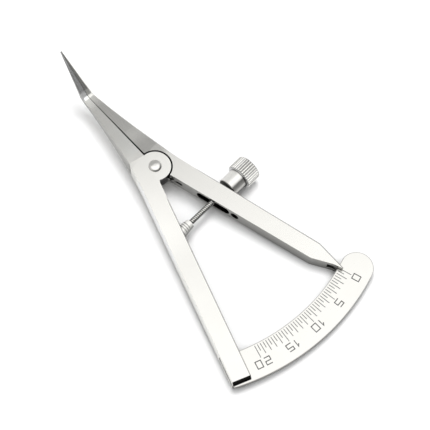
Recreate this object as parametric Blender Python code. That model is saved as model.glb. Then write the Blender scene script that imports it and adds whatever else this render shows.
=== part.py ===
"""Small two-arm lever caliper with upturned tips, an arc scale and a thumb-nut adjuster.

Frame: the origin is the pivot axis at the arms' flat underside, +Z goes up through the pivot,
+Y points from the pivot to the closed tips, and +X lies on the moving arm's side.
All dimensions are millimetres and are turned into metres when a mesh is made.
"""
import math

import bmesh
import bpy
from mathutils import Matrix, Vector

MM = 0.001

# Arms
ARM_T = 3.7                # full thickness of both arms
MID = ARM_T / 2            # height of the lap plane
LAP_GAP = 0.05             # clearance between the two half-thickness discs
FIXED_DIR = -17.6          # direction of the fixed arm, degrees from -Y towards +X
MOVING_DIR = 16.56         # direction of the moving arm, degrees from -Y towards +X
FIXED_INNER = 0.62         # distance of the fixed arm's inner side from its radial line
FIXED_OUTER = 5.22         # distance of its outer side from the same line
FIXED_END = 57.95          # length of the fixed arm from the pivot
END_BEVEL = 0.68           # how far the steep bevels run back from the fixed arm's end
END_LAND = 0.08            # height left upright on each lip
MOVING_INNER = 0.05        # distance of the moving arm's inner side from its radial line
MOVING_OUTER_ROOT = 5.05   # its outer side, at the joint
MOVING_OUTER_END = 4.45    # its outer side, where the pointer starts
POINTER_START = 43.9       # distance from the pivot where the pointer starts
POINTER_SHOULDER = 49.2    # distance from the pivot where the pointer's inner side turns straight
POINTER_END = 51.7         # distance from the pivot to the pointer's tip

# Lap joint
DISC_R = 3.9
POCKET_R = 4.3
DISC_START = 4.5           # distance from the pivot where an arm's inner side meets its disc
ARM_SIDE_START = 8.0       # distance from the pivot where an arm's outer side turns straight
RIVET_R = 0.95
RIVET_HOLE_R = 1.0
DOME_R = 1.53
DOME_H = 0.72
SINK_R = 1.45              # countersunk lower head of the rivet
SINK_H = 0.6

# Legs and tips
LEG_ROOT_Y = 4.5
LEG_END_Y = 26.0           # where the outer side's curve meets the tips
LEG_ROOT_W = 4.55          # half width of the closed pair at the root
LEG_END_W = 1.55           # half width at the tips' root
LEG_CURVE = 1.34           # exponent of the concave outer side
TAPER_Y = 3.5              # where the thickness starts to fall
TAPER_CURVE = 1.3          # how softly the taper starts
TOP_DROP = 0.8             # fall of the legs' top from the pivot to the bend
BOTTOM_RISE = 1.5          # rise of the legs' underside over the same length
BEND_Y = 24.7              # where the bend starts
BEND_R = 2.4               # radius of the bend's centreline
BEND_ANGLE = 42.5          # upward bend of the tips, degrees
TIP_LEN = 12.65            # straight length after the bend
TIP_W = 0.2                # half width of the closed pair at the points
TIP_T = 0.32               # thickness at the points
SPLIT_ROOT = 0.2           # half gap between the legs at the joint
SPLIT_BEND = 0.06
SPLIT_TIP = 0.02

# Scale plate
PLATE_T = 1.15
PLATE_IN_R = 50.55
PLATE_OUT_R = 58.5
PLATE_FREE_END = 21.35     # angle of the rounded end's centre, degrees from -Y towards +X
PLATE_CORNER_R = 1.0
PLATE_BACK = 0.04          # how far the plate's back lies inside the fixed arm's outer side
PLATE_FIT = 0.04           # gap above and below the plate in the fixed arm's slot
FORK_GAP = 0.16            # gap above and below the plate in the pointer's fork
FORK_DEPTH = 47.9          # distance from the pivot to the fork's inner end
PLATE_SLOT_START = 50.2
PIN_R = 0.5
PIN_FIT = 0.04
PIN_TOP = 3.0
PIN_DISTANCES = (52.4, 55.6)
SCALE_MM = 20              # largest engraved opening
TIP_RADIUS = 35.66         # plan distance from the pivot to the tips
ZERO_TICK = 18.8           # direction of the zero tick, degrees from -Y towards +X
TICK_W = 0.17
DIGIT_STROKE = 0.24
ENGRAVE_DEPTH = 0.12
TICK_IN_R = 50.95
TICK_OUT_R = (52.6, 53.7, 54.15)   # half, whole and fifth millimetres
DIGIT_R = 55.5             # radius of the numerals' centres
DIGIT_H = 1.8
DIGIT_W = 1.4
ONE_W = 0.5                # width of the numeral 1
DIGIT_GAP = 0.95           # space between the two digits of a number

# Adjuster
STUD_DIR = 5.6             # direction of the stud, degrees from +X towards +Y
STUD_ORIGIN = (-8.38, -16.9)      # where the stud's axis meets the fixed arm's centre line
STUD_R = 0.72
STUD_BACK = -1.4           # stations along the stud, measured from its origin
STUD_FRONT = 26.5
BORE_R = 0.76
SEAT_STATION = 2.1         # floor of the round spot face sunk in the fixed arm's inner side
SEAT_R = 1.74
LOCK_BACK = 2.14
LOCK_FRONT = 5.6
LOCK_BACK_R = 1.68
LOCK_FRONT_R = 1.14
LOCK_GROOVES = (1.3, 1.95, 2.6)    # distances of the grip grooves from the lock nut's front
LOCK_GROOVE_W = 0.32
LOCK_GROOVE_DEPTH = 0.14
SLEEVE_BACK = 18.5         # just clear of the closed moving arm's outer side
SLEEVE_FRONT = 22.55
SLEEVE_R = 2.5
NUT_BACK = 22.6
NUT_FRONT = 26.85
NUT_R = 3.4
NUT_TEETH = 32
TOOTH_DEPTH = 0.2

# Moving arm's openings
SLOT_START = 12.0
SLOT_END = 21.25
SLOT_H = 2.4
BLIND_START = 21.7
BLIND_END = 23.85
BLIND_H = 1.9
BLIND_DEPTH = 2.2
SPRING_SLOT_START = 4.25
SPRING_SLOT_END = 7.9
SPRING_SLOT_H = 0.85
SPRING_SLOT_DEPTH = 1.5

# Leaf spring
SPRING_T = 0.2
SPRING_H = 0.55

STEEL = ((0.62, 0.62, 0.61), 0.3, 1.0)
BRIGHT_STEEL = ((0.68, 0.68, 0.67), 0.2, 1.0)
DARK_STEEL = ((0.45, 0.45, 0.45), 0.35, 1.0)


def material(name, look):
    colour, roughness, metallic = look
    made = bpy.data.materials.new(name)
    made.use_nodes = True
    shader = made.node_tree.nodes["Principled BSDF"]
    shader.inputs["Base Color"].default_value = (*colour, 1.0)
    shader.inputs["Roughness"].default_value = roughness
    shader.inputs["Metallic"].default_value = metallic
    return made


def mesh_object(name, bm):
    """Turn a bmesh in millimetres into a linked object in metres."""
    bmesh.ops.recalc_face_normals(bm, faces=bm.faces[:])
    bmesh.ops.scale(bm, vec=(MM, MM, MM), verts=bm.verts[:])
    mesh = bpy.data.meshes.new(name)
    bm.to_mesh(mesh)
    bm.free()
    made = bpy.data.objects.new(name, mesh)
    bpy.context.scene.collection.objects.link(made)
    return made


def finish(made, look, smooth_angle=32.0):
    made.data.materials.clear()
    made.data.materials.append(material(made.name, look))
    for face in made.data.polygons:
        face.use_smooth = True
    made.data.set_sharp_from_angle(angle=math.radians(smooth_angle))


def cut(made, cutters):
    """Subtract each cutter in turn, then remove it."""
    for cutter in cutters:
        step = made.modifiers.new("cut", "BOOLEAN")
        step.operation = "DIFFERENCE"
        step.solver = "EXACT"
        step.object = cutter
        bpy.context.view_layer.update()
        result = bpy.data.meshes.new_from_object(made.evaluated_get(bpy.context.evaluated_depsgraph_get()))
        made.modifiers.clear()
        old = made.data
        made.data = result
        bpy.data.meshes.remove(old)
        bpy.data.objects.remove(cutter, do_unlink=True)
    made.data.name = made.name


def polar(angle, radius):
    """Plan point at an angle from -Y towards +X."""
    turn = math.radians(angle)
    return (radius * math.sin(turn), -radius * math.cos(turn))


def local(direction, side, along, offset):
    """Plan point on an arm: distance along its radial line, and offset to its outer side."""
    turn = math.radians(direction)
    return (along * math.sin(turn) + side * offset * math.cos(turn),
            -along * math.cos(turn) + side * offset * math.sin(turn))


def ring_bm(rings, closed=False):
    """Skin a list of equal rings into one closed body."""
    bm = bmesh.new()
    rows = [[bm.verts.new(point) for point in ring] for ring in rings]
    count = len(rows[0])
    pairs = list(zip(rows, rows[1:]))
    if closed:
        pairs.append((rows[-1], rows[0]))
    for first, second in pairs:
        for i in range(count):
            j = (i + 1) % count
            bm.faces.new((first[i], first[j], second[j], second[i]))
    if not closed:
        bm.faces.new(rows[0])
        bm.faces.new(rows[-1])
    return bm


def prism(name, outline, low, high):
    rings = [[(x, y, z) for x, y in outline] for z in (low, high)]
    return mesh_object(name, ring_bm(rings))


def cylinder(name, centre, radius, low, high, steps=64):
    outline = [(centre[0] + radius * math.cos(math.tau * i / steps),
                centre[1] + radius * math.sin(math.tau * i / steps)) for i in range(steps)]
    return prism(name, outline, low, high)


def stud_frame():
    """Matrix whose local X runs along the stud from its origin, in millimetres."""
    turn = Matrix.Rotation(math.radians(STUD_DIR), 4, "Z")
    return Matrix.Translation(Vector((*STUD_ORIGIN, MID))) @ turn


def turned(name, profile, steps=64, closed=False, teeth=0, toothed=()):
    """Turn a profile of (station, radius) about the stud's axis.

    Profile rows listed in toothed get a knurl with the given number of teeth.
    """
    frame = stud_frame()
    if teeth:
        steps = teeth * 6
    rings = []
    for row, (station, radius) in enumerate(profile):
        ring = []
        for i in range(steps):
            angle = math.tau * i / steps
            wave = 0.0
            if row in toothed:
                wave = TOOTH_DEPTH * (0.5 - 0.5 * math.cos(angle * teeth)) ** 2
            reach = radius - wave
            ring.append(frame @ Vector((station, reach * math.cos(angle), reach * math.sin(angle))))
        rings.append(ring)
    return mesh_object(name, ring_bm(rings, closed))


def leg_width(y):
    share = max(0.0, (LEG_END_Y - y) / (LEG_END_Y - LEG_ROOT_Y))
    return LEG_END_W + (LEG_ROOT_W - LEG_END_W) * share ** LEG_CURVE


def leg_heights(y):
    """Height of a leg's underside and top."""
    share = max(0.0, (y - TAPER_Y) / (BEND_Y - TAPER_Y)) ** TAPER_CURVE
    return BOTTOM_RISE * share, ARM_T - TOP_DROP * share


def leg_station(y, share):
    low, high = leg_heights(y)
    split = SPLIT_ROOT + (SPLIT_BEND - SPLIT_ROOT) * share
    return (y, (low + high) / 2, 0.0, split, leg_width(y), high - low)


def leg_stations():
    """Sections from the leg's root to the point: position, centre height, tilt, widths, thickness."""
    steps = 14
    length = BEND_Y - LEG_ROOT_Y
    sections = [leg_station(LEG_ROOT_Y + length * i / steps, i / steps) for i in range(steps + 1)]
    _, base, _, _, _, thick = sections[-1]
    bend = math.radians(BEND_ANGLE)
    steps = 8
    for i in range(1, steps + 1):
        turn = bend * i / steps
        y = BEND_Y + BEND_R * math.sin(turn)
        z = base + BEND_R * (1 - math.cos(turn))
        sections.append((y, z, turn, SPLIT_BEND, leg_width(y), thick))
    y, z = sections[-1][0], sections[-1][1]
    for i in range(1, steps + 1):
        share = i / steps
        reach = TIP_LEN * share
        sections.append((y + reach * math.cos(bend), z + reach * math.sin(bend), bend,
                         SPLIT_BEND + (SPLIT_TIP - SPLIT_BEND) * share,
                         LEG_END_W + (TIP_W - LEG_END_W) * share,
                         thick + (TIP_T - thick) * share))
    return sections


def leg_section(station, side):
    """Six corners of a leg section, from the inner low corner round its outer side."""
    y, z, tilt, split, width, thick = station
    chamfer = min(0.16, 0.22 * thick) if tilt == 0.0 else min(0.32, 0.3 * thick, 0.45 * (width - split))
    half = thick / 2
    corners = ((split, -half), (width - chamfer * 0.5, -half), (width, chamfer - half),
               (width, half - chamfer), (width - chamfer, half), (split, half))
    return [(side * x, y - h * math.sin(tilt), z + h * math.cos(tilt)) for x, h in corners]


def arc(centre_angle_from, centre_angle_to, radius, steps):
    """Plan points on a circle about the pivot, both angles from -Y towards +X."""
    return [polar(centre_angle_from + (centre_angle_to - centre_angle_from) * i / steps, radius)
            for i in range(steps + 1)]


def arm_blank(name, side, plan):
    """Full-thickness arm with its leg. plan starts at the leg root's outer corner and goes round."""
    bm = bmesh.new()
    stations = leg_stations()
    root = [bm.verts.new(point) for point in leg_section(stations[0], side)]
    low = [bm.verts.new((x, y, 0.0)) for x, y in plan]
    high = [bm.verts.new((x, y, ARM_T)) for x, y in plan]
    # The blank's two caps run from the root's outer corners, round the plan, to its inner corners.
    bm.faces.new([root[0], root[1]] + low)
    bm.faces.new([root[5], root[4]] + high)
    bm.faces.new((root[1], root[2], root[3], root[4], high[0], low[0]))
    for i in range(len(plan) - 1):
        bm.faces.new((low[i], low[i + 1], high[i + 1], high[i]))
    bm.faces.new((low[-1], root[0], root[5], high[-1]))
    previous = root
    for station in stations[1:]:
        current = [bm.verts.new(point) for point in leg_section(station, side)]
        for i in range(6):
            j = (i + 1) % 6
            bm.faces.new((previous[i], previous[j], current[j], current[i]))
        previous = current
    bm.faces.new(previous)
    return mesh_object(name, bm)


def across(direction, side, outline, inner, outer):
    """Cutter with an outline of (along, height) that runs across an arm between two offsets."""
    rings = []
    for offset in (inner, outer):
        rings.append([(*local(direction, side, along, offset), z) for along, z in outline])
    return mesh_object("cutter", ring_bm(rings))


def stadium(direction, side, start, end, height, inner, outer, steps=10):
    """Round-ended slot through an arm's side, from the inner offset to the outer offset."""
    radius = height / 2
    outline = []
    for along, first in ((end - radius, -90.0), (start + radius, 90.0)):
        for i in range(steps + 1):
            turn = math.radians(first + 180.0 * i / steps)
            outline.append((along + radius * math.cos(turn), MID + radius * math.sin(turn)))
    return across(direction, side, outline, inner, outer)


def end_bevel(lip, face):
    """Cutter for the steep bevel on one lip of the fixed arm's end, from the lip's slot side to its face."""
    out = 1.0 if face > lip else -1.0
    foot = lip + out * END_LAND
    slope = END_BEVEL / (face - foot)
    top = face + out
    outline = ((FIXED_END, foot), (FIXED_END + 1, foot), (FIXED_END + 1, top),
               (FIXED_END - slope * (top - foot), top))
    return across(FIXED_DIR, -1, outline, FIXED_INNER - 1, FIXED_OUTER + 1)


def slab(direction, side, start, end, inner, outer, low, high):
    """Rectangular cutter laid along an arm."""
    corners = ((start, inner), (end, inner), (end, outer), (start, outer))
    return prism("cutter", [local(direction, side, along, offset) for along, offset in corners], low, high)


def sink(radius_low, radius_high, low, high, steps=64):
    rings = []
    for radius, z in ((radius_low, low), (radius_high, high)):
        rings.append([(radius * math.cos(math.tau * i / steps), radius * math.sin(math.tau * i / steps), z)
                      for i in range(steps)])
    return mesh_object("cutter", ring_bm(rings))


def arm_root(direction, side, inner, outer):
    """Plan points joining the leg's outer side to the arm's outer side with a soft curve."""
    start = Vector((side * leg_width(LEG_ROOT_Y), LEG_ROOT_Y))
    end = Vector(local(direction, side, ARM_SIDE_START, outer))
    knee = Vector(local(direction, side, ARM_SIDE_START / 8, outer))
    points = []
    steps = 6
    for i in range(1, steps + 1):
        t = i / steps
        points.append(tuple(start * (1 - t) ** 2 + knee * 2 * t * (1 - t) + end * t * t))
    return points


def fixed_arm():
    plan = arm_root(FIXED_DIR, -1, FIXED_INNER, FIXED_OUTER)
    plan.append(local(FIXED_DIR, -1, FIXED_END, FIXED_OUTER))
    plan.append(local(FIXED_DIR, -1, FIXED_END, FIXED_INNER))
    plan.append(local(FIXED_DIR, -1, DISC_START, FIXED_INNER))
    v_angle = -180.0 + math.degrees(math.asin(SPLIT_ROOT / DISC_R))
    plan += arc(-24.0, 360.0 + v_angle, DISC_R, 44)
    plan = [(x, y) for x, y in plan if y < LEG_ROOT_Y]
    made = arm_blank("fixed_arm", -1, plan)
    slot_low = MID - PLATE_T / 2 - PLATE_FIT
    slot_high = MID + PLATE_T / 2 + PLATE_FIT
    cutters = [
        cylinder("cutter", (0, 0), POCKET_R, -1.0, MID + LAP_GAP / 2),
        cylinder("cutter", (0, 0), RIVET_HOLE_R, -1.0, ARM_T + 1.0),
        slab(FIXED_DIR, -1, PLATE_SLOT_START, FIXED_END + 1, FIXED_INNER - 1, FIXED_OUTER + 1,
             slot_low, slot_high),
        end_bevel(slot_high, ARM_T),
        end_bevel(slot_low, 0.0),
        turned("cutter", ((STUD_BACK - 0.2, BORE_R), (SEAT_STATION + 1, BORE_R)), 32),
        turned("cutter", ((SEAT_STATION, SEAT_R), (LOCK_FRONT, SEAT_R)), 48),
    ]
    for distance in PIN_DISTANCES:
        centre = local(FIXED_DIR, -1, distance, (FIXED_INNER + FIXED_OUTER) / 2)
        cutters.append(cylinder("cutter", centre, PIN_R + PIN_FIT, -1.0, PIN_TOP + PIN_FIT, 32))
    cut(made, cutters)
    finish(made, STEEL)


def moving_arm():
    plan = arm_root(MOVING_DIR, 1, MOVING_INNER, MOVING_OUTER_ROOT - 0.1)
    tip_offset = POINTER_END * math.sin(math.radians(ZERO_TICK - MOVING_DIR))
    plan.append(local(MOVING_DIR, 1, POINTER_START, MOVING_OUTER_END))
    plan.append(local(MOVING_DIR, 1, POINTER_END, tip_offset + 0.08))
    plan.append(local(MOVING_DIR, 1, POINTER_END, tip_offset - 0.08))
    plan.append(local(MOVING_DIR, 1, POINTER_SHOULDER, tip_offset - 0.4))
    plan.append(local(MOVING_DIR, 1, POINTER_START, MOVING_INNER))
    plan.append(local(MOVING_DIR, 1, DISC_START, MOVING_INNER))
    v_angle = 180.0 - math.degrees(math.asin(SPLIT_ROOT / DISC_R))
    plan += arc(12.0, v_angle - 360.0, DISC_R, 44)
    plan = [(x, y) for x, y in plan if y < LEG_ROOT_Y]
    made = arm_blank("moving_arm", 1, plan)
    fork_low = MID - PLATE_T / 2 - FORK_GAP
    fork_high = MID + PLATE_T / 2 + FORK_GAP
    outer = MOVING_OUTER_ROOT + 1
    cutters = [
        cylinder("cutter", (0, 0), POCKET_R, MID - LAP_GAP / 2, ARM_T + 1.0),
        cylinder("cutter", (0, 0), RIVET_HOLE_R, -1.0, ARM_T + 1.0),
        sink(SINK_R + 0.45, RIVET_HOLE_R, -0.4, SINK_H),
        slab(MOVING_DIR, 1, FORK_DEPTH, POINTER_END + 1, MOVING_INNER - 1, outer, fork_low, fork_high),
        stadium(MOVING_DIR, 1, SLOT_START, SLOT_END, SLOT_H, MOVING_INNER - 1, outer),
        stadium(MOVING_DIR, 1, BLIND_START, BLIND_END, BLIND_H, MOVING_INNER - 1, MOVING_INNER + BLIND_DEPTH),
        stadium(MOVING_DIR, 1, SPRING_SLOT_START, SPRING_SLOT_END, SPRING_SLOT_H, MOVING_INNER - 1,
                MOVING_INNER + SPRING_SLOT_DEPTH, 6),
    ]
    cut(made, cutters)
    finish(made, STEEL)


def pivot_rivet():
    """Domed head, shank through both discs, and a countersunk lower head level with the underside."""
    profile = [(0.0, SINK_R), (SINK_H - 0.05, RIVET_R), (ARM_T + 0.06, RIVET_R)]
    steps = 8
    rim = 0.1
    base = ARM_T + 0.06
    profile.append((base, DOME_R))
    for i in range(steps):
        turn = math.radians(90.0 * i / steps)
        profile.append((base + rim + (DOME_H - rim) * math.sin(turn), DOME_R * math.cos(turn)))
    rings = []
    count = 48
    for z, radius in profile:
        rings.append([(radius * math.cos(math.tau * i / count), radius * math.sin(math.tau * i / count), z)
                      for i in range(count)])
    made = mesh_object("pivot_rivet", ring_bm(rings))
    finish(made, BRIGHT_STEEL)


def plate_outline():
    """Arc plate: squared with two round corners in the fixed arm, fully rounded at its free end."""
    middle_r = (PLATE_IN_R + PLATE_OUT_R) / 2
    end_r = (PLATE_OUT_R - PLATE_IN_R) / 2
    back_out = FIXED_DIR - math.degrees(math.asin((FIXED_OUTER - PLATE_BACK) / PLATE_OUT_R))
    back_in = FIXED_DIR - math.degrees(math.asin((FIXED_OUTER - PLATE_BACK) / PLATE_IN_R))
    corner_turn = math.degrees(PLATE_CORNER_R / PLATE_OUT_R)
    outline = arc(back_out + corner_turn, PLATE_FREE_END, PLATE_OUT_R, 60)
    centre = polar(PLATE_FREE_END, middle_r)
    for i in range(1, 20):
        turn = math.radians(PLATE_FREE_END - 90.0 + 180.0 * i / 20)
        outline.append((centre[0] + end_r * math.cos(turn), centre[1] + end_r * math.sin(turn)))
    outline += arc(PLATE_FREE_END, back_in, PLATE_IN_R, 60)
    edge_in = Vector(local(FIXED_DIR, -1, PLATE_OUT_R - PLATE_CORNER_R - 0.3, FIXED_OUTER - PLATE_BACK))
    corner = Vector(polar(back_out, PLATE_OUT_R))
    edge_out = Vector(polar(back_out + corner_turn, PLATE_OUT_R))
    for i in range(6):
        t = i / 6
        outline.append(tuple(edge_in * (1 - t) ** 2 + corner * 2 * t * (1 - t) + edge_out * t * t))
    return outline


def stroke(points, width, closed):
    """Closed engraving cutter that follows a line of plan points with mitred corners."""
    half = width / 2
    count = len(points)
    left, right = [], []
    for i, point in enumerate(points):
        here = Vector(point)
        before = Vector(points[i - 1]) if closed or i else None
        after = Vector(points[(i + 1) % count]) if closed or i < count - 1 else None
        normals = []
        for start, end in ((before, here), (here, after)):
            if start is not None and end is not None:
                along = (end - start).normalized()
                normals.append(Vector((-along.y, along.x)))
        normal = sum(normals, Vector((0.0, 0.0))).normalized()
        reach = half / max(0.4, normal.dot(normals[0]))
        left.append(here + normal * reach)
        right.append(here - normal * reach)
    low = MID + PLATE_T / 2 - ENGRAVE_DEPTH
    high = MID + PLATE_T / 2 + 0.3
    rings = []
    for a, b in zip(left, right):
        rings.append([(a.x, a.y, low), (b.x, b.y, low), (b.x, b.y, high), (a.x, a.y, high)])
    return mesh_object("cutter", ring_bm(rings, closed))


def digit_lines(digit):
    """Squared numeral as one line in a unit box: x to the right, y up."""
    lines = {
        "0": ((-0.5, -0.5), (0.5, -0.5), (0.5, 0.5), (-0.5, 0.5)),
        "1": ((-0.25, 0.16), (0.1, 0.5), (0.1, -0.5)),
        "2": ((-0.5, 0.5), (0.5, 0.5), (0.5, 0.02), (-0.5, 0.02), (-0.5, -0.5), (0.5, -0.5)),
        "5": ((0.5, 0.5), (-0.5, 0.5), (-0.5, 0.08), (0.5, 0.08), (0.5, -0.5), (-0.5, -0.5)),
    }
    return lines[digit], digit == "0"


def number_cutters(value):
    """Numerals stand with their tops outwards and read towards larger values."""
    text = str(value)
    tick = scale_angle(value)
    cutters = []
    widths = [ONE_W if digit == "1" else DIGIT_W for digit in text]
    start = -(sum(widths) + DIGIT_GAP * (len(text) - 1)) / 2
    for digit, width in zip(text, widths):
        angle = tick - math.degrees((start + width / 2) / DIGIT_R)
        start += width + DIGIT_GAP
        centre = Vector(polar(angle, DIGIT_R))
        up = centre.normalized()
        right = Vector((up.y, -up.x))
        lines, closed = digit_lines(digit)
        points = [centre + right * (x * DIGIT_W) + up * (y * DIGIT_H) for x, y in lines]
        cutters.append(stroke([tuple(point) for point in points], DIGIT_STROKE, closed))
    return cutters


def scale_angle(opening):
    """Direction of the tick for a tip opening, from the chord at the tips' radius."""
    return ZERO_TICK - 2 * math.degrees(math.asin(opening / (2 * TIP_RADIUS)))


def scale_plate():
    low = MID - PLATE_T / 2
    made = prism("scale_plate", plate_outline(), low, low + PLATE_T)
    cutters = []
    for half in range(2 * SCALE_MM + 1):
        opening = half / 2
        if half % 10 == 0:
            outer = TICK_OUT_R[2]
        elif half % 2 == 0:
            outer = TICK_OUT_R[1]
        else:
            outer = TICK_OUT_R[0]
        angle = scale_angle(opening)
        cutters.append(stroke([polar(angle, TICK_IN_R), polar(angle, outer)], TICK_W, False))
        if half % 10 == 0:
            cutters += number_cutters(int(opening))
    for distance in PIN_DISTANCES:
        centre = local(FIXED_DIR, -1, distance, (FIXED_INNER + FIXED_OUTER) / 2)
        cutters.append(cylinder("cutter", centre, PIN_R + PIN_FIT, -1.0, ARM_T, 32))
    cut(made, [joined(cutters)])
    finish(made, STEEL)


def joined(parts):
    """Merge separate cutters into one object."""
    bm = bmesh.new()
    for part in parts:
        bm.from_mesh(part.data)
        bpy.data.objects.remove(part, do_unlink=True)
    mesh = bpy.data.meshes.new("cutter")
    bm.to_mesh(mesh)
    bm.free()
    made = bpy.data.objects.new("cutter", mesh)
    bpy.context.scene.collection.objects.link(made)
    return made


def plate_pins():
    for number, distance in enumerate(PIN_DISTANCES, 1):
        centre = local(FIXED_DIR, -1, distance, (FIXED_INNER + FIXED_OUTER) / 2)
        made = cylinder(f"plate_pin_{number}", centre, PIN_R, 0.03, PIN_TOP, 32)
        finish(made, STEEL)


def threaded_stud():
    point = 0.25
    profile = ((STUD_BACK, STUD_R - point), (STUD_BACK + point, STUD_R),
               (STUD_FRONT - point, STUD_R), (STUD_FRONT, STUD_R - point))
    made = turned("threaded_stud", profile, 32)
    finish(made, DARK_STEEL)


def lock_nut():
    """Tapered nut with turned grip grooves; its back sits in the fixed arm's spot face."""
    edge = 0.12
    slope = (LOCK_BACK_R - LOCK_FRONT_R) / (LOCK_FRONT - LOCK_BACK)
    profile = [(LOCK_FRONT, BORE_R), (LOCK_FRONT, LOCK_FRONT_R - edge)]
    profile.append((LOCK_FRONT - edge, LOCK_FRONT_R + slope * edge))
    for distance in LOCK_GROOVES:
        for shift, depth in ((-0.5, 0.0), (-0.15, 1.0), (0.15, 1.0), (0.5, 0.0)):
            along = distance + shift * LOCK_GROOVE_W
            profile.append((LOCK_FRONT - along, LOCK_FRONT_R + slope * along - depth * LOCK_GROOVE_DEPTH))
    profile += [(LOCK_BACK + edge, LOCK_BACK_R), (LOCK_BACK, LOCK_BACK_R - edge), (LOCK_BACK, BORE_R)]
    made = turned("lock_nut", profile, 48, closed=True)
    finish(made, BRIGHT_STEEL)


def thrust_sleeve():
    edge = 0.25
    profile = ((SLEEVE_BACK, SLEEVE_R - edge), (SLEEVE_BACK + edge, SLEEVE_R), (SLEEVE_FRONT, SLEEVE_R),
               (SLEEVE_FRONT, BORE_R), (SLEEVE_BACK, BORE_R))
    made = turned("thrust_sleeve", profile, 64, closed=True)
    finish(made, BRIGHT_STEEL)


def thumb_nut():
    bevel = 0.5
    profile = ((NUT_BACK, NUT_R - bevel - 0.35), (NUT_BACK + 0.12, NUT_R - bevel),
               (NUT_BACK + bevel, NUT_R), (NUT_FRONT - bevel, NUT_R),
               (NUT_FRONT - 0.08, NUT_R - bevel), (NUT_FRONT, NUT_R - bevel - 0.25),
               (NUT_FRONT, BORE_R + 0.3), (NUT_FRONT - 0.3, BORE_R), (NUT_BACK, BORE_R))
    made = turned("thumb_nut", profile, closed=True, teeth=NUT_TEETH, toothed=(2, 3))
    finish(made, BRIGHT_STEEL)


def leaf_spring():
    """Thin strip seated in the moving arm's slot, its free end bent towards the fixed arm."""
    ends = ((7.45, 0.8), (6.6, 0.5), (5.8, 0.2), (5.1, -0.12), (4.6, -0.5))
    low = MID - SPRING_H / 2
    rings = []
    for i, (along, offset) in enumerate(ends):
        before = Vector(ends[max(0, i - 1)])
        after = Vector(ends[min(len(ends) - 1, i + 1)])
        run = (after - before).normalized()
        shift = Vector((-run.y, run.x)) * SPRING_T / 2
        inner = local(MOVING_DIR, 1, along + shift.x, offset + shift.y)
        outer = local(MOVING_DIR, 1, along - shift.x, offset - shift.y)
        rings.append([(*inner, low), (*outer, low), (*outer, low + SPRING_H), (*inner, low + SPRING_H)])
    made = mesh_object("leaf_spring", ring_bm(rings))
    finish(made, BRIGHT_STEEL)


def main():
    for old in list(bpy.data.objects):
        bpy.data.objects.remove(old, do_unlink=True)
    fixed_arm()
    moving_arm()
    pivot_rivet()
    scale_plate()
    plate_pins()
    threaded_stud()
    lock_nut()
    thrust_sleeve()
    thumb_nut()
    leaf_spring()


main()
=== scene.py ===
"""Looks for the small lever caliper: satin steel arms, engraved scale, turned and knurled adjuster.

Lengths are millimetres and are turned into metres when a mesh is made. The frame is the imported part's.
"""

import math

import bmesh
import bpy
from mathutils import Matrix, Vector


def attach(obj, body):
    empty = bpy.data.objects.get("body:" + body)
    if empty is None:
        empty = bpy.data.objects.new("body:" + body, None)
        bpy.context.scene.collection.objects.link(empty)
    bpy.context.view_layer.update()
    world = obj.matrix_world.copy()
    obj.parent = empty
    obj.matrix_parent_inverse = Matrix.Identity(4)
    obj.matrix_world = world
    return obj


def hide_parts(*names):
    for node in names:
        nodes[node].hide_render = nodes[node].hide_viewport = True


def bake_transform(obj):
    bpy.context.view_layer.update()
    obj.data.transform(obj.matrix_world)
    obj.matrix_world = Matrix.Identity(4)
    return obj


MM = 0.001

# Camera and floor, and where along each arm it touches the floor
CAMERA_AT = (-111.19, -116.28, 330.66)
CAMERA_BACK = (-0.3162, -0.2703, 0.9094)
CAMERA_UP = (0.5856, 0.6985, 0.4113)
FIELD_OF_VIEW = 16.3
FLOOR_SIZE = 3000.0
FLOOR_GAP = 0.05
FIXED_REST = 57.2
MOVING_REST = 49.0
POINTER_MIDDLE = 1.5

# Light: levels of the white tent and the panel above (in metres and watts)
LOW_FRONT = 0.10
LOW_REST = 0.50
OVERHEAD = 1.35
BEHIND_TIPS = 0.35
PANEL_AT = (0.3, 0.33, 1.2)
PANEL_SIZE = 0.6
PANEL_WATTS = 9.6

# Part sizes that the added pieces share with the CAD part. The two DIR angles of the arms turn from -Y
# towards +X; stations along the stud are measured from its origin, and grooves from the lock nut's front.
ARM_T = 3.7
MID = ARM_T / 2
FIXED_DIR = -17.6
MOVING_DIR = 16.56
MOVING_OUTER_ROOT = 5.05
MOVING_OUTER_END = 4.45
POINTER_START = 43.9
POINTER_END = 51.7
POINTER_HALF_WIDTH = 0.08
ZERO_TICK = 18.8
ARM_SIDE_START = 8.0
FIXED_INNER = 0.62
BEND_Y = 24.7
PLATE_TOP = MID + 0.575
PLATE_IN_R = 50.55
PLATE_OUT_R = 58.5
PLATE_FREE_END = 21.35
PLATE_PAINT_END = math.tan(math.radians(PLATE_FREE_END - 0.35))
STUD_DIR = 5.6
STUD_ORIGIN = (-8.38, -16.9)
STUD_R = 0.72
STUD_BACK = -1.4
STUD_FRONT = 26.5
THREAD_PITCH = 0.5
THREAD_DEPTH = 0.15
BORE_R = 0.76
LOCK_BACK = 2.14
LOCK_FRONT = 5.6
LOCK_BACK_R = 1.68
LOCK_FRONT_R = 1.14
LOCK_GROOVES = (1.3, 1.95, 2.6)
LOCK_GROOVE_W = 0.32
LOCK_GROOVE_DEPTH = 0.14
SLEEVE_BACK = 18.5
NUT_BACK = 22.6
NUT_FRONT = 26.85
NUT_R = 3.4
NUT_TEETH = 32
NUT_RIB_DEPTH = 0.24
SPRING_H = 0.55
SPRING_T = 0.2

# Steel: edge rounding of the arms, warm tint, and the start of the painted shade lines measured from an
# edge
EDGE_ROUND = 0.2
WARMTH = 0.045
EDGE_LINE_START = 0.08
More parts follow.
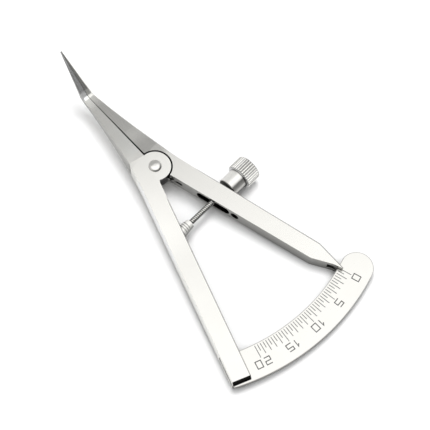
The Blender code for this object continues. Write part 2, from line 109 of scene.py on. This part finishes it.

# Painted light and shade on the steel: brightness shares, and shares lost, by surface direction, along
# edges and rims, on the end bevel, in slots and in recesses
INNER_SHADE = 0.33
OUTER_SHADE = 1.25
EDGE_LINE = 0.3
END_SHADE = 0.06
RIM_SHADE = 0.5
EDGE_LOSS = 0.85
LEG_EDGE_LOSS = 0.15
LEG_SIDE_SHADE = 0.85
SLOT_LOSS = 0.9
RECESS_SHADE = 0.08

# How near the walls are that darken a recess with painted shade; on the floor, a painted shadow round the
# tool
RECESS_REACH = 1.4
TURNED_REACH = 0.7
PLATE_REACH = 0.6
FLOOR_REACH = 6.0


# ---------------------------------------------------------------- geometry helpers

def polar(angle, radius):
    """Plan point at an angle from -Y towards +X."""
    turn = math.radians(angle)
    return (radius * math.sin(turn), -radius * math.cos(turn))


def local(direction, side, along, offset):
    """Plan point on an arm: distance along its radial line, and offset to its outer side."""
    turn = math.radians(direction)
    return (along * math.sin(turn) + side * offset * math.cos(turn),
            -along * math.cos(turn) + side * offset * math.sin(turn))


def stud_frame():
    """Matrix whose local X runs along the stud from its origin, in millimetres."""
    turn = Matrix.Rotation(math.radians(STUD_DIR), 4, "Z")
    return Matrix.Translation(Vector((*STUD_ORIGIN, MID))) @ turn


def piece(name, bm, smooth_angle=35.0):
    """Linked object in metres from a bmesh in millimetres, smooth except at sharp edges."""
    bmesh.ops.recalc_face_normals(bm, faces=bm.faces[:])
    bmesh.ops.scale(bm, vec=(MM, MM, MM), verts=bm.verts[:])
    mesh = bpy.data.meshes.new(name)
    bm.to_mesh(mesh)
    bm.free()
    for face in mesh.polygons:
        face.use_smooth = True
    mesh.set_sharp_from_angle(angle=math.radians(smooth_angle))
    made = bpy.data.objects.new(name, mesh)
    bpy.context.scene.collection.objects.link(made)
    return made


def skin(rings, closed=False):
    """Closed body through a list of equal rings."""
    bm = bmesh.new()
    rows = [[bm.verts.new(point) for point in ring] for ring in rings]
    count = len(rows[0])
    pairs = list(zip(rows, rows[1:]))
    if closed:
        pairs.append((rows[-1], rows[0]))
    for first, second in pairs:
        for i in range(count):
            j = (i + 1) % count
            bm.faces.new((first[i], first[j], second[j], second[i]))
    if not closed:
        bm.faces.new(rows[0])
        bm.faces.new(rows[-1])
    return bm


def turned(name, profile, steps, radius_change=None, closed=True, smooth_angle=50.0):
    """Body turned about the stud's axis; radius_change(row, station, angle) is added to each radius."""
    axis = stud_frame()
    rings = []
    for row, (station, radius) in enumerate(profile):
        ring = []
        for i in range(steps):
            angle = math.tau * i / steps
            reach = radius + (radius_change(row, station, angle) if radius_change else 0.0)
            ring.append(axis @ Vector((station, reach * math.cos(angle), reach * math.sin(angle))))
        rings.append(ring)
    return piece(name, skin(rings, closed), smooth_angle)


def smooth_copy(node):
    """Copy of a CAD node with its sharp edges softly rounded; stands for the node."""
    source = nodes[node]
    sharp = math.radians(30.0)
    bm = bmesh.new()
    bm.from_mesh(source.data)
    bmesh.ops.remove_doubles(bm, verts=bm.verts[:], dist=1e-6)
    bmesh.ops.dissolve_limit(bm, angle_limit=math.radians(0.5), verts=bm.verts[:], edges=bm.edges[:])
    mesh = bpy.data.meshes.new(node + "_finished")
    bm.to_mesh(mesh)
    bm.free()
    made = bpy.data.objects.new(node + "_finished", mesh)
    bpy.context.scene.collection.objects.link(made)
    for face in mesh.polygons:
        face.use_smooth = True
    mesh.set_sharp_from_angle(angle=sharp)
    soften = made.modifiers.new("soften", "BEVEL")
    soften.width = EDGE_ROUND * MM
    soften.segments = 2
    soften.limit_method = "ANGLE"
    soften.angle_limit = sharp
    soften.miter_outer = "MITER_ARC"
    flatten = made.modifiers.new("flatten", "WEIGHTED_NORMAL")
    flatten.keep_sharp = True
    flatten.weight = 50
    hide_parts(node)
    return made


# ---------------------------------------------------------------- shader helpers

class Tree:
    """Small helper for building shader node trees."""

    def __init__(self, tree):
        self.tree = tree

    def node(self, kind, **settings):
        made = self.tree.nodes.new(kind)
        for key, value in settings.items():
            setattr(made, key, value)
        return made

    def link(self, output, socket):
        self.tree.links.new(output, socket)

    def feed(self, socket, value):
        if isinstance(value, bpy.types.NodeSocket):
            self.link(value, socket)
        else:
            socket.default_value = value

    def math(self, operation, a, b=0.0):
        made = self.node("ShaderNodeMath", operation=operation)
        self.feed(made.inputs[0], a)
        self.feed(made.inputs[1], b)
        return made.outputs[0]

    def times(self, first, *others):
        for other in others:
            first = self.math("MULTIPLY", first, other)
        return first

    def plus(self, a, b):
        return self.math("ADD", a, b)

    def minus(self, a, b):
        return self.math("SUBTRACT", a, b)

    def length(self, a, b):
        return self.math("POWER", self.plus(self.times(a, a), self.times(b, b)), 0.5)

    def along(self, x, y, angle):
        """Coordinate along a plan direction, its angle in degrees from +X towards +Y."""
        turn = math.radians(angle)
        return self.plus(self.times(x, math.cos(turn)), self.times(y, math.sin(turn)))

    def ramp(self, value, low, high, out_low=0.0, out_high=1.0):
        """Smooth step of value from low to high, giving out_low to out_high."""
        made = self.node("ShaderNodeMapRange", interpolation_type="SMOOTHSTEP")
        self.feed(made.inputs["Value"], value)
        made.inputs["From Min"].default_value = low
        made.inputs["From Max"].default_value = high
        made.inputs["To Min"].default_value = out_low
        made.inputs["To Max"].default_value = out_high
        return made.outputs["Result"]

    def split(self, vector):
        made = self.node("ShaderNodeSeparateXYZ")
        self.link(vector, made.inputs[0])
        return made.outputs[0], made.outputs[1], made.outputs[2]

    def place(self):
        """Position in the part's frame at rest; it moves with the body."""
        return self.node("ShaderNodeTexCoord").outputs["Object"]

    def from_stud(self, quarter):
        """Coordinate from the stud's origin, along its axis (0) or level across it (90)."""
        x, y, _z = self.split(self.place())
        turn = math.radians(STUD_DIR + quarter)
        start = (STUD_ORIGIN[0] * math.cos(turn) + STUD_ORIGIN[1] * math.sin(turn)) * MM
        return self.minus(self.along(x, y, STUD_DIR + quarter), start)

    def stud_radius(self):
        """Distance from the stud's axis."""
        height = self.split(self.place())[2]
        return self.length(self.from_stud(90.0), self.minus(height, MID * MM))

    def stretch(self, vector, scale, turn=0.0):
        made = self.node("ShaderNodeMapping")
        self.link(vector, made.inputs["Vector"])
        made.inputs["Rotation"].default_value = (0.0, 0.0, turn)
        made.inputs["Scale"].default_value = scale
        return made.outputs[0]

    def noise(self, vector, scale, detail=3.0, roughness=0.55):
        made = self.node("ShaderNodeTexNoise")
        self.link(vector, made.inputs["Vector"])
        made.inputs["Scale"].default_value = scale
        made.inputs["Detail"].default_value = detail
        made.inputs["Roughness"].default_value = roughness
        return made.outputs[0]

    def mix(self, share, first, second):
        made = self.node("ShaderNodeMix", data_type="RGBA")
        self.feed(made.inputs["Factor"], share)
        self.feed(made.inputs[6], first)
        self.feed(made.inputs[7], second)
        return made.outputs[2]

    def scale_colour(self, colour, share):
        made = self.node("ShaderNodeVectorMath", operation="SCALE")
        self.feed(made.inputs[0], colour)
        self.feed(made.inputs["Scale"], share)
        return made.outputs[0]

    def normal(self):
        """Components of the surface direction in the scene, which is the part's frame at rest."""
        return self.split(self.node("ShaderNodeNewGeometry").outputs["Normal"])

    def side_shade(self):
        """Painted light and shade by surface direction: brightness share of milled sides, broken edges
        and the end bevel; top faces have 1.
        """
        _x, y, z = self.normal()
        place_y = self.split(self.place())[1]
        side = self.ramp(y, 0.18, 0.29, INNER_SHADE, OUTER_SHADE)
        side = self.times(side, self.ramp(place_y, 2.0 * MM, 5.0 * MM, 1.0, LEG_SIDE_SHADE))
        upright = self.ramp(self.math("ABSOLUTE", z), 0.1, 0.35, 1.0, 0.0)
        share = self.plus(1.0, self.times(upright, self.minus(side, 1.0)))
        tilted = self.times(self.ramp(z, 0.02, 0.15), self.ramp(z, 0.97, 0.998, 1.0, 0.0))
        loss = self.ramp(place_y, 3.4 * MM, 4.4 * MM, EDGE_LOSS, LEG_EDGE_LOSS)
        before_bend = self.ramp(place_y, (BEND_Y - 3.0) * MM, (BEND_Y - 1.0) * MM, 1.0, 0.0)
        share = self.times(share, self.minus(1.0, self.times(tilted, loss, before_bend)))
        return self.times(share, self.ramp(y, -0.82, -0.72, END_SHADE, 1.0))

    def arm_place(self, direction, side):
        """Distance along an arm and offset towards its outer side."""
        x, y, _z = self.split(self.place())
        return self.along(x, y, direction - 90.0), self.times(self.along(x, y, direction), side)

    def slot_wall(self, direction):
        """Brightness share: painted shade makes walls inside an arm that aren't parallel to its sides
        dark.
        """
        x, y, _z = self.normal()
        across = self.math("ABSOLUTE", self.along(x, y, direction))
        _x, place_y, z = self.split(self.place())
        height = self.math("ABSOLUTE", self.minus(z, MID * MM))
        turned_away = self.ramp(across, 0.5, 0.8, 1.0, 0.0)
        inside = self.ramp(height, 1.22 * MM, 1.3 * MM, 1.0, 0.0)
        below_leg = self.ramp(place_y, 3.5 * MM, 4.0 * MM, 1.0, 0.0)
        return self.minus(1.0, self.times(turned_away, inside, below_leg, SLOT_LOSS))

    def edge_line(self, inwards, width, along):
        """Brightness share: a thin painted shade line where inwards is small, along the arm past its
        joint.
        """
        line = self.ramp(inwards, EDGE_LINE_START * MM, (EDGE_LINE_START + width) * MM, EDGE_LINE, 1.0)
        return self.math("MAXIMUM", line, self.ramp(along, ARM_SIDE_START * MM, 12.0 * MM, 1.0, 0.0))

    def fixed_far_edge(self):
        """Thin painted shade line along the fixed arm's inner edge."""
        along, offset = self.arm_place(FIXED_DIR, -1)
        return self.edge_line(self.minus(offset, FIXED_INNER * MM), 0.2, along)

    def moving_far_edge(self):
        """Thin painted shade line along the moving arm's outer edge and down the pointer's taper."""
        along, offset = self.arm_place(MOVING_DIR, 1)
        fall = (MOVING_OUTER_ROOT - MOVING_OUTER_END) / (POINTER_START - ARM_SIDE_START)
        outer = self.minus((MOVING_OUTER_ROOT + fall * ARM_SIDE_START) * MM, self.times(along, fall))
        tip_offset = POINTER_END * math.sin(math.radians(ZERO_TICK - MOVING_DIR)) + POINTER_HALF_WIDTH
        slope = (MOVING_OUTER_END - tip_offset) / (POINTER_END - POINTER_START)
        taper = self.minus((MOVING_OUTER_END + slope * POINTER_START) * MM, self.times(along, slope))
        inwards = self.minus(self.math("MINIMUM", outer, taper), offset)
        return self.edge_line(inwards, 0.22, along)

    def fixed_painted_tone(self):
        """Painted light along the fixed arm: lighter towards the joint and along the leg."""
        y = self.split(self.place())[1]
        return self.plus(self.ramp(y, -25.0 * MM, -14.0 * MM, 1.0, 1.15),
                         self.ramp(y, 3.0 * MM, 6.0 * MM, 0.0, 0.1))

    def moving_painted_tone(self):
        """Painted shade along the moving arm: its leg is darker, most of all next to the joint."""
        y = self.split(self.place())[1]
        root = self.ramp(y, 0.0, 2.6 * MM)
        loss = self.ramp(y, 5.5 * MM, 10.5 * MM, 0.26, 0.03)
        before_bend = self.ramp(y, (BEND_Y - 1.0) * MM, BEND_Y * MM, 1.0, 0.0)
        return self.minus(1.0, self.times(root, loss, before_bend))

    def sleeve_shade(self):
        """Brightness share of painted shade on the sleeve: dark foot against the arm, dimmer back, dark
        reflection band in front.
        """
        y = self.normal()[1]
        station = self.from_stud(0.0)
        foot = self.ramp(station, (SLEEVE_BACK + 0.05) * MM, (SLEEVE_BACK + 0.3) * MM, 0.15, 1.0)
        back = self.ramp(y, 0.5, 0.8, 1.0, 0.7)
        band = self.times(self.ramp(y, -0.62, -0.46, 1.0, 0.0), self.ramp(y, -0.97, -0.86, 0.5, 1.0))
        return self.times(foot, back, self.minus(1.0, self.times(band, 0.7)))

    def lock_shade(self):
        """Brightness share of painted shade on the lock nut: dark along its front flank and in its
        grooves.
        """
        station = self.from_stud(0.0)
        shade = self.ramp(self.normal()[1], -0.95, -0.62, 0.25, 1.0)
        for centre in LOCK_GROOVES:
            gap = self.math("ABSOLUTE", self.minus(station, (LOCK_FRONT - centre) * MM))
            shade = self.times(shade, self.ramp(gap, 0.05 * MM, LOCK_GROOVE_W / 2 * MM, 0.45, 1.0))
        return shade

    def dark_flanks(self):
        """Brightness share of painted light and shade on a thin lying cylinder: bright along its top,
        dark along both flanks.
        """
        return self.ramp(self.normal()[2], 0.45, 0.85, 0.22, 1.0)

    def plate_rim(self, radius):
        """Brightness share of painted shade on the scale plate: its broken rims, rounded end and sides
        are darker.
        """
        x, y, _z = self.split(self.place())
        inner = self.ramp(radius, (PLATE_IN_R + 0.10) * MM, (PLATE_IN_R + 0.22) * MM, RIM_SHADE, 1.0)
        outer = self.ramp(radius, (PLATE_OUT_R - 0.16) * MM, (PLATE_OUT_R - 0.06) * MM, 1.0, RIM_SHADE)
        centre = polar(PLATE_FREE_END, (PLATE_IN_R + PLATE_OUT_R) / 2)
        end_r = (PLATE_OUT_R - PLATE_IN_R) / 2
        from_centre = self.length(self.minus(x, centre[0] * MM), self.minus(y, centre[1] * MM))
        cap = self.ramp(from_centre, (end_r - 0.2) * MM, (end_r - 0.08) * MM, 1.0, RIM_SHADE)
        before_end = self.math("LESS_THAN", self.along(x, y, PLATE_FREE_END), 0.0)
        cap = self.math("MAXIMUM", cap, before_end)
        side = self.ramp(self.math("ABSOLUTE", self.normal()[2]), 0.3, 0.8, RIM_SHADE, 1.0)
        return self.times(inner, outer, cap, side)

    def recess(self, reach, low=0.25, high=0.85, shade=RECESS_SHADE):
        """Brightness share: falls to shade where walls closer than reach hide the surface."""
        made = self.node("ShaderNodeAmbientOcclusion", samples=8)
        made.inputs["Distance"].default_value = reach * MM
        return self.ramp(made.outputs["AO"], low, high, shade, 1.0)

    def bump(self, height, strength, distance):
        made = self.node("ShaderNodeBump")
        made.inputs["Strength"].default_value = strength
        made.inputs["Distance"].default_value = distance
        self.link(height, made.inputs["Height"])
        return made.outputs[0]


def new_material(name):
    made = bpy.data.materials.new(name)
    made.use_nodes = True
    shader = made.node_tree.nodes["Principled BSDF"]
    return made, Tree(made.node_tree), shader


def grey(value, warmth=0.0):
    """Grey of a brightness, tinted towards yellow by a small warmth."""
    return (value * (1 + 0.25 * warmth), value, value * (1 - warmth), 1.0)


def steel(name, direction, base=0.80, roughness=0.2, far_edge=None, painted_tone=None):
    """Satin steel with fine streaks; sides, broken edges and recesses have their own brightness of
    painted light and shade.

    direction is the arm's own. The far-edge and tone arguments name Tree methods that give the painted
    shade line at the arm's far edge and the painted light and shade along its length.
    """
    made, t, shader = new_material(name)
    place = t.place()
    x, y, _z = t.split(place)
    # The streaks run along X. The turn after the stretch only gives each arm its own pattern.
    turn = math.radians(90.0 - direction)
    brushed = t.noise(t.stretch(place, (150.0, 9000.0, 9000.0), turn), 1.0, 3.0, 0.6)
    clouds = t.noise(place, 130.0, 2.0)
    marks = t.noise(t.stretch(place, (250.0, 5000.0, 900.0), turn + 0.5), 1.0, 2.0, 0.7)
    wear = t.ramp(marks, 0.66, 0.78)

    share = t.plus(t.times(brushed, 0.55), t.times(clouds, 0.45))
    colour = t.mix(share, grey(base - 0.06, WARMTH), grey(base + 0.05, WARMTH))
    colour = t.mix(t.times(wear, 0.25), colour, grey(base - 0.2))
    # Painted highlight on the tips towards -X and painted shade towards +X
    tips = t.ramp(y, BEND_Y * MM, (BEND_Y + 1.5) * MM)
    tip_painted_highlight = t.times(tips, t.ramp(x, -0.6 * MM, 0.3 * MM, 0.25, -0.1))
    # Painted light and shade: by surface direction, in recesses, on the tips and on the walls inside
    # slots
    shade = t.times(t.side_shade(), t.recess(RECESS_REACH), t.plus(1.0, tip_painted_highlight), t.slot_wall(direction))
    if far_edge:
        shade = t.times(shade, far_edge(t))
    if painted_tone:
        shade = t.times(shade, painted_tone(t))
    t.link(t.scale_colour(colour, shade), shader.inputs["Base Color"])
    shader.inputs["Metallic"].default_value = 1.0

    bend = t.times(t.ramp(y, (BEND_Y - 4.0) * MM, BEND_Y * MM, 0.0, 0.15),
                   t.ramp(y, (BEND_Y + 1.5) * MM, (BEND_Y + 2.5) * MM, 1.0, 0.0))
    rough = t.plus(t.plus(roughness - 0.05, bend), t.times(brushed, 0.10))
    t.link(t.plus(rough, t.times(wear, 0.05)), shader.inputs["Roughness"])
    t.link(t.bump(brushed, 0.024, 0.00002), shader.inputs["Normal"])
    return made


def plate_steel():
    """Streaked plate whose engraved floors are filled with dark grey."""
    made, t, shader = new_material("plate_steel")
    place = t.place()
    x, y, z = t.split(place)
    radius = t.length(x, y)
    below = t.math("LESS_THAN", z, (PLATE_TOP - 0.012) * MM)
    above = t.math("GREATER_THAN", z, (PLATE_TOP - 0.2) * MM)
    inside = t.math("GREATER_THAN", radius, (PLATE_IN_R + 0.15) * MM)
    outside = t.math("LESS_THAN", radius, (PLATE_OUT_R - 0.6) * MM)
    before_end = t.math("LESS_THAN", t.math("DIVIDE", x, t.times(y, -1.0)), PLATE_PAINT_END)
    paint = t.times(below, above, inside, outside, before_end)

    brushed = t.noise(t.stretch(place, (150.0, 3500.0, 3500.0), math.radians(80.0)), 1.0, 3.0, 0.6)
    clouds = t.noise(place, 160.0, 2.0)
    share = t.plus(t.times(brushed, 0.5), t.times(clouds, 0.5))
    metal = t.mix(share, grey(0.80, WARMTH), grey(0.90, WARMTH))
    # Painted shade in recesses and along the rims, rounded end and sides
    metal = t.scale_colour(metal, t.times(t.recess(PLATE_REACH), t.plate_rim(radius)))
    flecks = t.ramp(t.noise(place, 5200.0, 2.0), 0.55, 0.75)
    fill = t.mix(flecks, grey(0.10), grey(0.32))
    t.link(t.mix(paint, metal, fill), shader.inputs["Base Color"])
    t.link(t.minus(1.0, paint), shader.inputs["Metallic"])

    rough = t.plus(t.times(paint, 0.3), t.plus(0.24, t.times(brushed, 0.1)))
    t.link(rough, shader.inputs["Roughness"])
    t.link(t.bump(brushed, 0.06, 0.00002), shader.inputs["Normal"])
    return made


def turned_steel(name, base, roughness, rings, groove_shade=None, band=None, metallic=1.0):
    """Bright steel with fine tool rings round the stud's axis.

    The groove shade argument is (inner radius, outer radius, grey) of painted shade in the groove
    valleys, which fades out between the two radii. band names a Tree method that gives a brightness share
    of painted light and shade.
    """
    made, t, shader = new_material(name)
    place = t.place()
    along = t.stretch(place, (1.0, 1.0, 1.0), -math.radians(STUD_DIR))
    lines = t.noise(t.stretch(along, (9000.0, 60.0, 60.0)), 1.0, 2.0, 0.6)
    clouds = t.noise(place, 500.0, 2.0)
    colour = t.mix(clouds, grey(base - 0.05, WARMTH), grey(base + 0.05, WARMTH))
    colour = t.mix(t.times(lines, 0.3), colour, grey(base - 0.12))
    # Painted shade in the groove valleys, by distance from the stud's axis
    if groove_shade:
        inner, outer, groove_grey = groove_shade
        out_of_groove = t.ramp(t.stud_radius(), inner * MM, outer * MM)
        colour = t.mix(out_of_groove, grey(groove_grey), colour)
    # Painted shade in recesses, times the band's painted light and shade
    shade = t.recess(TURNED_REACH)
    if band:
        shade = t.times(shade, band(t))
    t.link(t.scale_colour(colour, shade), shader.inputs["Base Color"])
    shader.inputs["Metallic"].default_value = metallic
    t.link(t.plus(roughness - 0.03, t.times(lines, 0.08)), shader.inputs["Roughness"])
    t.link(t.bump(lines, rings, 0.00001), shader.inputs["Normal"])
    return made


def rivet_steel():
    """Peened rivet: bright with a slightly hammered dome."""
    made, t, shader = new_material("rivet_steel")
    place = t.place()
    dents = t.noise(place, 1500.0, 2.0)
    colour = t.mix(dents, grey(0.78, WARMTH), grey(0.9, WARMTH))
    # Painted shade in recesses and on the dome's side that faces -Y
    shade = t.times(t.recess(TURNED_REACH), t.ramp(t.normal()[1], -0.8, -0.35, 0.35, 1.0))
    t.link(t.scale_colour(colour, shade), shader.inputs["Base Color"])
    shader.inputs["Metallic"].default_value = 1.0
    t.link(t.plus(0.26, t.times(dents, 0.1)), shader.inputs["Roughness"])
    t.link(t.bump(dents, 0.15, 0.00004), shader.inputs["Normal"])
    return made


def dress(obj, look):
    obj.data.materials.clear()
    obj.data.materials.append(look)


# ---------------------------------------------------------------- pieces

def stud_thread():
    """Real helical thread along the whole stud."""
    point = 0.25
    steps_per_pitch = 10
    count = int((STUD_FRONT - STUD_BACK) / THREAD_PITCH * steps_per_pitch)
    profile = []
    for i in range(count + 1):
        station = STUD_BACK + (STUD_FRONT - STUD_BACK) * i / count
        end = min(station - STUD_BACK, STUD_FRONT - station)
        profile.append((station, STUD_R - max(0.0, point - end)))

    def groove(_row, station, angle):
        phase = (station / THREAD_PITCH - angle / math.tau) % 1.0
        ridge = min(1.0, max(0.0, 1.6 * abs(2 * phase - 1.0) - 0.2))
        return -THREAD_DEPTH * (1.0 - ridge)

    made = turned("stud_thread", profile, 32, groove, closed=False, smooth_angle=60.0)
    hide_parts("threaded_stud")
    return made


def knurled_head():
    """Thumb nut with straight ribs, rounded shoulders and a dished outer face."""
    shoulder = 0.5
    rows = [(NUT_BACK, BORE_R), (NUT_BACK, NUT_R - shoulder - 0.35)]
    toothed = []
    turns = [math.radians(15.0 * i) for i in range(7)]
    for face, inwards, order in ((NUT_BACK, 1, turns), (NUT_FRONT, -1, reversed(turns))):
        for turn in order:
            step_in = shoulder * (1 - math.cos(turn)) * 0.9 + 0.02
            rows.append((face + inwards * step_in, NUT_R - shoulder + shoulder * math.sin(turn)))
            toothed.append((len(rows) - 1, math.sin(turn)))
    rows += [(NUT_FRONT, NUT_R - shoulder - 0.3), (NUT_FRONT - 0.12, NUT_R - shoulder - 0.6),
             (NUT_FRONT - 0.12, BORE_R + 0.3), (NUT_FRONT - 0.4, BORE_R)]
    share = dict(toothed)

    def rib(row, _station, angle):
        wave = 0.5 - 0.5 * math.cos(angle * NUT_TEETH)
        return -NUT_RIB_DEPTH * share.get(row, 0.0) * wave ** 1.6

    made = turned("knurled_head", rows, NUT_TEETH * 12, rib)
    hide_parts("thumb_nut")
    return made


def grooved_nut():
    """Tapered lock nut with rounded grip grooves and soft edges."""
    edge = 0.12
    slope = (LOCK_BACK_R - LOCK_FRONT_R) / (LOCK_FRONT - LOCK_BACK)
    rows = [(LOCK_FRONT - edge, BORE_R), (LOCK_FRONT, BORE_R + 0.1), (LOCK_FRONT, LOCK_FRONT_R - edge),
            (LOCK_FRONT - 0.3 * edge, LOCK_FRONT_R - 0.3 * edge)]
    steps = 60
    for i in range(steps + 1):
        along = edge + (LOCK_FRONT - LOCK_BACK - 2 * edge) * i / steps
        gap = min(abs(along - centre) for centre in LOCK_GROOVES)
        depth = LOCK_GROOVE_DEPTH * max(0.0, 1.0 - (2 * gap / LOCK_GROOVE_W) ** 2)
        rows.append((LOCK_FRONT - along, LOCK_FRONT_R + slope * along - depth))
    rows += [(LOCK_BACK, LOCK_BACK_R - edge), (LOCK_BACK, BORE_R)]
    made = turned("grooved_nut", rows, 96)
    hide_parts("lock_nut")
    return made


def bent_spring():
    """Curved leaf spring strip between the two arms."""
    ends = ((7.45, 0.8), (7.0, 0.66), (6.6, 0.5), (6.2, 0.35), (5.8, 0.2), (5.4, 0.03), (5.1, -0.12),
            (4.85, -0.3), (4.6, -0.5))
    low = MID - SPRING_H / 2
    rings = []
    for i, (along, offset) in enumerate(ends):
        before = Vector(ends[max(0, i - 1)])
        after = Vector(ends[min(len(ends) - 1, i + 1)])
        run = (after - before).normalized()
        shift = Vector((-run.y, run.x)) * SPRING_T / 2
        inner = local(MOVING_DIR, 1, along + shift.x, offset + shift.y)
        outer = local(MOVING_DIR, 1, along - shift.x, offset - shift.y)
        rings.append([(*inner, low), (*outer, low), (*outer, low + SPRING_H), (*inner, low + SPRING_H)])
    made = piece("bent_spring", skin(rings))
    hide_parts("leaf_spring")
    return made


# ---------------------------------------------------------------- stage

def floor_height(x, y):
    """Table under the tool, which rests on its thumb nut and on the two arms' scale ends."""
    nut = stud_frame() @ Vector((NUT_BACK + 2.4, 0.0, -NUT_R))
    fixed_end = Vector((*local(FIXED_DIR, -1, FIXED_REST, FIXED_INNER), 0.0))
    moving_end = Vector((*local(MOVING_DIR, 1, MOVING_REST, POINTER_MIDDLE), 0.0))
    normal = (fixed_end - nut).cross(moving_end - nut)
    return nut.z - (normal.x * (x - nut.x) + normal.y * (y - nut.y)) / normal.z


def make_floor():
    corners = []
    for sx, sy in ((-1, -1), (1, -1), (1, 1), (-1, 1)):
        x, y = sx * FLOOR_SIZE / 2, sy * FLOOR_SIZE / 2
        corners.append((x, y, floor_height(x, y) - FLOOR_GAP))
    bm = bmesh.new()
    bm.faces.new([bm.verts.new(corner) for corner in corners])
    made = piece("floor", bm)
    look, t, shader = new_material("floor_paper")
    fibres = t.noise(t.place(), 900.0, 3.0)
    paper = t.mix(fibres, grey(0.90), grey(0.93))
    # Painted shadow on the paper, darkest where the tool crowds in close above it
    t.link(t.scale_colour(paper, t.recess(FLOOR_REACH, 0.0, 0.6, 0.25)), shader.inputs["Base Color"])
    shader.inputs["Roughness"].default_value = 0.6
    shader.inputs["Specular IOR Level"].default_value = 0.2
    made.data.materials.append(look)


def make_world():
    """White tent: bright overhead, dimmer behind the tips, dark low down in front."""
    world = bpy.data.worlds.new("tent")
    bpy.context.scene.world = world
    world.use_nodes = True
    t = Tree(world.node_tree)
    background = world.node_tree.nodes["Background"]
    direction = t.node("ShaderNodeTexCoord").outputs["Generated"]
    x, y, z = t.split(direction)
    slant = t.plus(y, t.times(x, 0.3))
    low_light = t.ramp(y, -0.35, 0.1, LOW_FRONT, LOW_REST)
    high_light = t.ramp(slant, 0.34, 0.50, OVERHEAD, BEHIND_TIPS)
    raised = t.ramp(z, 0.52, 0.80)
    level = t.plus(low_light, t.times(raised, t.minus(high_light, low_light)))
    t.link(level, background.inputs["Strength"])
    background.inputs["Color"].default_value = (1.0, 1.0, 1.0, 1.0)


def make_camera():
    data = bpy.data.cameras.new("camera")
    data.sensor_width = 36.0
    data.angle = math.radians(FIELD_OF_VIEW)
    data.clip_start = 0.01
    made = bpy.data.objects.new("camera", data)
    bpy.context.scene.collection.objects.link(made)
    back = Vector(CAMERA_BACK).normalized()
    right = Vector(CAMERA_UP).cross(back).normalized()
    up = back.cross(right)
    turn = Matrix((right, up, back)).transposed().to_4x4()
    made.matrix_world = Matrix.Translation(Vector(CAMERA_AT) * MM) @ turn
    bpy.context.scene.camera = made


def make_lights():
    """Large soft panel overhead that lights the table evenly."""
    data = bpy.data.lights.new("panel", "AREA")
    data.shape = "SQUARE"
    data.size = PANEL_SIZE
    data.energy = PANEL_WATTS
    made = bpy.data.objects.new("panel", data)
    bpy.context.scene.collection.objects.link(made)
    made.location = PANEL_AT
    made.rotation_euler = (-made.location).to_track_quat("-Z", "Y").to_euler()
    made.visible_glossy = False


# ---------------------------------------------------------------- build

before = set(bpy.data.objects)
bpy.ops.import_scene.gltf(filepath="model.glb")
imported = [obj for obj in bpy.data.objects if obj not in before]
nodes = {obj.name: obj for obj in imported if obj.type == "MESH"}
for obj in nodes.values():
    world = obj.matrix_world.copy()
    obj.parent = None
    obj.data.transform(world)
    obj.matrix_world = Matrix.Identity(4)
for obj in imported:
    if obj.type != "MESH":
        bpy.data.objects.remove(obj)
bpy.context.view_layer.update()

fixed = smooth_copy("fixed_arm")
fixed_look = steel("fixed_arm_steel", FIXED_DIR, far_edge=Tree.fixed_far_edge, painted_tone=Tree.fixed_painted_tone)
dress(fixed, fixed_look)
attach(fixed, "fixed")
moving = smooth_copy("moving_arm")
moving_look = steel("moving_arm_steel", MOVING_DIR, far_edge=Tree.moving_far_edge, painted_tone=Tree.moving_painted_tone)
dress(moving, moving_look)
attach(moving, "moving")

thread = stud_thread()
thread_groove_shade = (STUD_R - THREAD_DEPTH, STUD_R - 0.08, 0.2)
thread_look = turned_steel("thread_steel", base=0.98, roughness=0.25, rings=0.1, groove_shade=thread_groove_shade,
                           band=Tree.dark_flanks)
dress(thread, thread_look)
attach(thread, "fixed")

head = knurled_head()
head_groove_shade = (NUT_R - NUT_RIB_DEPTH, NUT_R - 0.08, 0.6)
head_look = turned_steel("knurl_steel", base=0.95, roughness=0.25, rings=0.1, groove_shade=head_groove_shade)
dress(head, head_look)
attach(head, "thumb")

lock = grooved_nut()
lock_look = turned_steel("lock_steel", base=0.95, roughness=0.4, rings=0.1, band=Tree.lock_shade,
                         metallic=0.45)
dress(lock, lock_look)
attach(lock, "lock")

spring = bent_spring()
dress(spring, steel("spring_strip_steel", MOVING_DIR, base=0.7))
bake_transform(spring)

sleeve_look = turned_steel("bright_turned_steel", base=0.97, roughness=0.42, rings=0.6,
                           band=Tree.sleeve_shade, metallic=0.75)
dress(nodes["thrust_sleeve"], sleeve_look)
dress(nodes["scale_plate"], plate_steel())
dress(nodes["pivot_rivet"], rivet_steel())
for number in (1, 2):
    pin_look = steel(f"pin_{number}_steel", FIXED_DIR, base=0.7, roughness=0.3)
    dress(nodes[f"plate_pin_{number}"], pin_look)

make_floor()
make_world()
make_lights()
make_camera()
bpy.context.scene.view_settings.view_transform = "Standard"
